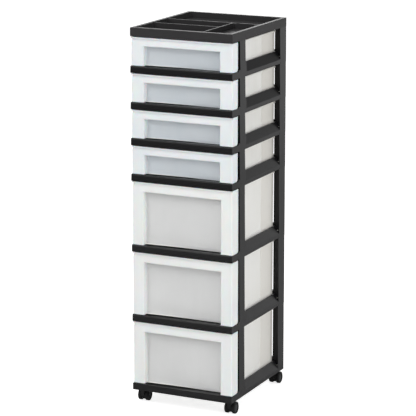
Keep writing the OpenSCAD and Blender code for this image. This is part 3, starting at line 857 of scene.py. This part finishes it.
def tyre(name, low, high):
    """Rolled ring with round edges, spun from its section."""
    x, y, z = (low + high) / 2
    top_r = (high.z - low.z) / 2
    inner_r = CAP_SHARE * top_r - TYRE_IN
    ring = block(name, (low.x, y, z + inner_r), (high.x, y + MM, z + top_r))
    open_mesh(ring)
    pick(ring, "FACE", lambda f: f.normal.y > -0.5)
    bpy.ops.mesh.delete(type="FACE")
    pick(ring, "VERT", lambda v: v.co.z > z + inner_r + MM)
    bpy.ops.mesh.bevel(offset=TYRE_EDGE, segments=4, affect="VERTICES")
    bpy.ops.mesh.select_all(action="SELECT")
    bpy.ops.mesh.delete(type="ONLY_FACE")
    bpy.ops.mesh.select_all(action="SELECT")
    bpy.ops.mesh.spin(steps=WHEEL_STEPS, angle=math.tau, center=(x, y, z), axis=(1, 0, 0))
    bpy.ops.mesh.select_all(action="SELECT")
    bpy.ops.mesh.remove_doubles(threshold=SPIN_WELD)
    bpy.ops.mesh.normals_make_consistent(inside=False)
    close_mesh()
    smooth(ring, 40)
    return ring


def cap(name, low, high, outwards):
    """Cap disc with a raised hub and a ring groove on its outer face."""
    bpy.ops.object.select_all(action="DESELECT")
    bpy.ops.mesh.primitive_cylinder_add(
        vertices=WHEEL_STEPS, radius=CAP_SHARE * (high.z - low.z) / 2, depth=high.x - low.x - CAP_IN,
        location=(low + high) / 2, rotation=(0, math.pi / 2, 0))
    disc = bpy.context.object
    disc.name = disc.data.name = name
    settle(disc)
    open_mesh(disc)
    pick(disc, "FACE", lambda f: f.normal.x * outwards > 0.9)
    bpy.ops.mesh.inset(thickness=CAP_RIM)
    bpy.ops.mesh.inset(thickness=CAP_SLOPE, depth=-CAP_GROOVE)
    bpy.ops.mesh.inset(thickness=CAP_DISH, depth=CAP_RISE)
    bpy.ops.mesh.inset(thickness=CAP_SLOPE, depth=CAP_GROOVE)
    close_mesh()
    round_edges(disc, CAP_EDGE_R, angle=CAP_FOLD)
    smooth(disc)
    return disc


def casters():
    """Housings, plated stems and axles, and each wheel as a tyre with its cap."""
    for corner in CORNERS:
        housing = soft_copy(f"caster_housing_{corner}", f"housing_{corner}", HOUSING_EDGE_R)
        dress(housing, HOUSING_BLACK)
        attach(housing, f"caster_{corner}")
        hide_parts(f"caster_housing_{corner}")
        for part in ("caster_stem", "caster_axle"):
            dress(frame["nodes"][f"{part}_{corner}"], STEEL)
        for place in ("inner", "outer"):
            cad_node = f"wheel_{place}_{corner}"
            low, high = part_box(cad_node)
            outwards = 1 if low.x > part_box(f"caster_stem_{corner}")[0].x else -1
            ring = tyre(f"tyre_{place}_{corner}", low, high)
            disc = cap(f"cap_{place}_{corner}", low, high, outwards)
            for piece, finish in ((ring, TYRE_BLACK), (disc, CAP_GREY)):
                dress(piece, finish)
                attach(piece, f"wheel_{place}_body_{corner}")
                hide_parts(cad_node)


# ---------------------------------------------------------------- stage

def floor():
    """Wide pale floor that keeps the tower's shadow and shows white to the camera."""
    bpy.ops.object.select_all(action="DESELECT")
    bpy.ops.mesh.primitive_circle_add(vertices=64, radius=FLOOR_R, fill_type="NGON")
    sheet = bpy.context.object
    sheet.name = "floor"
    finish = bpy.data.materials.new("floor_white")
    finish.use_nodes = True
    tree = finish.node_tree
    tree.nodes.clear()
    paint = node(tree, "ShaderNodeBsdfDiffuse", Color=(FLOOR_GREY, FLOOR_GREY, FLOOR_GREY, 1))
    path = tree.nodes.new("ShaderNodeLightPath").outputs
    seen = maths(tree, "MAXIMUM", path["Is Camera Ray"], path["Is Transmission Ray"])
    lift = node(tree, "ShaderNodeEmission", Strength=maths(tree, "MULTIPLY", seen, FLOOR_LIFT))
    both = node(tree, "ShaderNodeAddShader")
    tree.links.new(paint.outputs[0], both.inputs[0])
    tree.links.new(lift.outputs[0], both.inputs[1])
    tree.links.new(both.outputs[0], tree.nodes.new("ShaderNodeOutputMaterial").inputs["Surface"])
    dress(sheet, finish)


def world():
    """Even light; reflections see a white sweep with a darker studio above it."""
    sky = bpy.data.worlds.new("studio")
    bpy.context.scene.world = sky
    sky.use_nodes = True
    tree = sky.node_tree
    tree.nodes.clear()
    path = tree.nodes.new("ShaderNodeLightPath").outputs
    seen = maths(tree, "MAXIMUM", path["Is Camera Ray"], path["Is Transmission Ray"])
    toward = node(tree, "ShaderNodeSeparateXYZ",
                  Vector=tree.nodes.new("ShaderNodeTexCoord").outputs["Generated"]).outputs
    slant = maths(tree, "ADD", toward["Z"], maths(tree, "MULTIPLY", toward["X"], SWEEP_SIDE))
    sheen = maths(tree, "MULTIPLY", path["Is Glossy Ray"],
                  ramp(tree, slant, SWEEP_LOW, SWEEP_HIGH, 1.0, SWEEP_DARK))
    even = maths(tree, "MULTIPLY", maths(tree, "SUBTRACT", 1.0, path["Is Glossy Ray"]), WORLD_LIGHT)
    level = maths(tree, "MAXIMUM", maths(tree, "ADD", even, sheen), seen)
    light = node(tree, "ShaderNodeBackground", Color=(1, 1, 1, 1), Strength=level)
    tree.links.new(light.outputs[0], tree.nodes.new("ShaderNodeOutputWorld").inputs["Surface"])


def aimed(piece, place, target):
    """Places a lamp or camera and points it."""
    piece.location = place
    piece.rotation_euler = (Vector(target) - Vector(place)).to_track_quat("-Z", "Y").to_euler()


def lamp(name, place, target, size, power):
    """A round soft lamp that points at the target."""
    data = bpy.data.lights.new(name, "AREA")
    data.shape, data.size, data.energy = "DISK", size, power
    made = bpy.data.objects.new(name, data)
    bpy.context.collection.objects.link(made)
    aimed(made, place, target)


def camera():
    """A long lens, so that the upright lines stay nearly parallel."""
    data = bpy.data.cameras.new("camera")
    data.lens, data.sensor_width, data.clip_end = LENS, 36, 200
    made = bpy.data.objects.new("camera", data)
    bpy.context.collection.objects.link(made)
    aimed(made, CAMERA_AT, CAMERA_TO)
    bpy.context.scene.camera = made


for size_name, tier_numbers in SIZES.items():
    drawers(size_name, tier_numbers)
    frames(size_name, tier_numbers)
organizer()
casters()
floor()
world()
for lamp_name, values in LAMPS.items():
    lamp(lamp_name, *values)
camera()

view = bpy.context.scene.view_settings
view.view_transform = "Standard"
